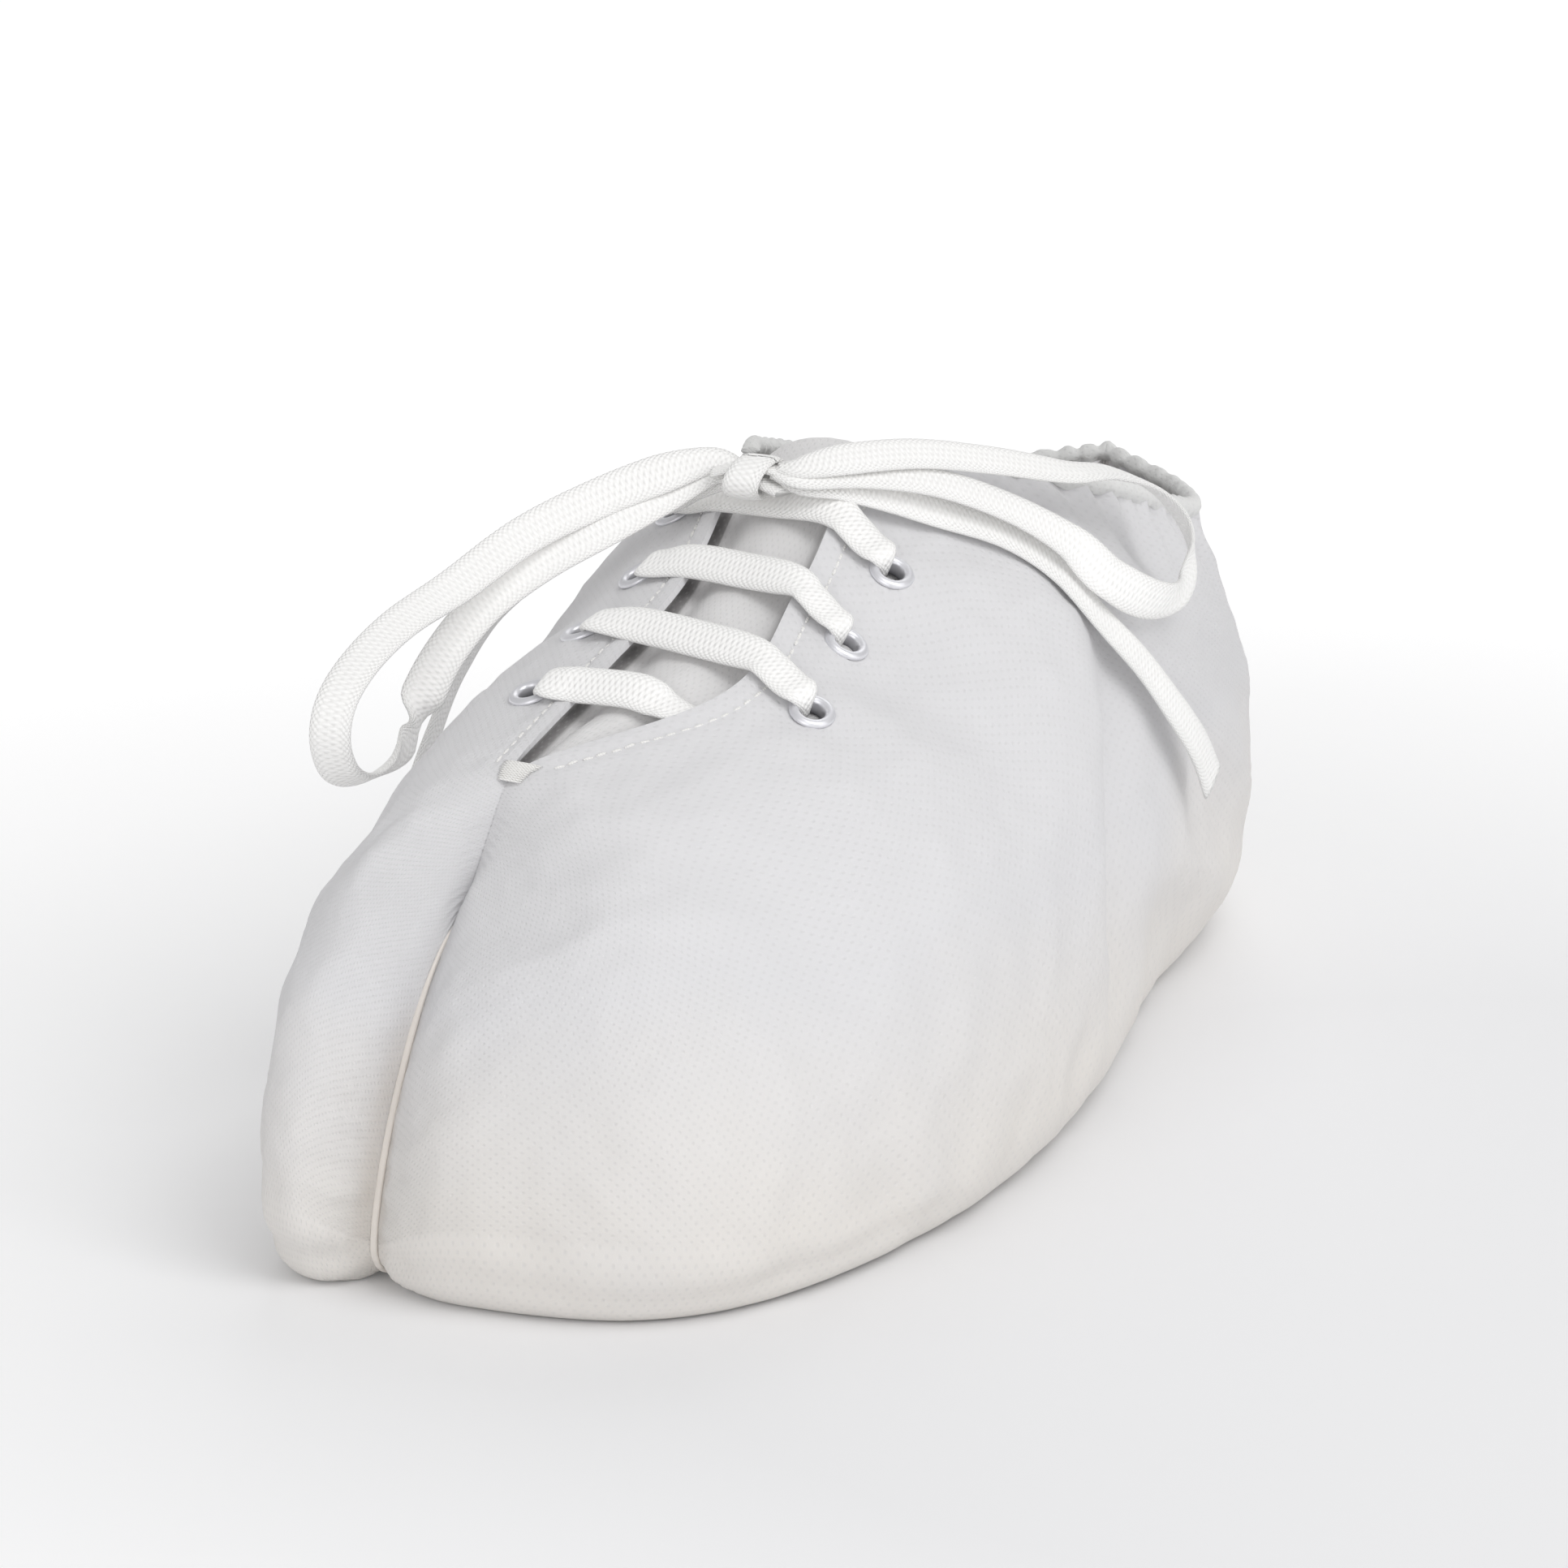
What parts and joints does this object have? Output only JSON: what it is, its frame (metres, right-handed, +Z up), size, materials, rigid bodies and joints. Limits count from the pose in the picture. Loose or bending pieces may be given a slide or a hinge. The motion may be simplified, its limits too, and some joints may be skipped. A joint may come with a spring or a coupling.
{
  "type": "disposable shoe cover",
  "caption": "Soft nonwoven cover pulled over a shoe, with a seamed gathered toe, a laced throat tied in a bow and an elastic ankle edge.",
  "frame": {"origin": "on the floor under the middle of the cover's bounding box, laces of the bow left out", "axes": "+Z up from the floor, -Y towards the toe, +X towards the inner (medial) side of the right foot"},
  "size_m": [0.125, 0.2976, 0.1151],
  "materials": {
    "fabric": "matte off-white nonwoven",
    "tongue_fabric": "matte off-white nonwoven",
    "seam_tape": "matte tan tape",
    "gathered_hem": "matte gathered hem",
    "lace_cotton": "matte flat woven lace",
    "eyelet_metal": "pale satin metal"
  },
  "bodies": {
    "root": {"panel_left": "fabric", "panel_right": "fabric", "eyelet_left_1": "eyelet_metal", "eyelet_left_2": "eyelet_metal", "eyelet_left_3": "eyelet_metal", "eyelet_left_4": "eyelet_metal", "eyelet_right_2": "eyelet_metal", "eyelet_right_3": "eyelet_metal", "eyelet_right_4": "eyelet_metal", "lace_bar_1": "lace_cotton", "lace_bar_2": "lace_cotton", "lace_bar_3": "lace_cotton", "lace_bar_4": "lace_cotton", "tongue": "tongue_fabric", "centre_seam": "seam_tape", "elastic_edge": "gathered_hem", "bow_knot": "lace_cotton", "loop_left": "lace_cotton", "loop_right": "lace_cotton", "lace_end_left": "lace_cotton", "lace_end_right": "lace_cotton"}
  },
  "joints": []
}
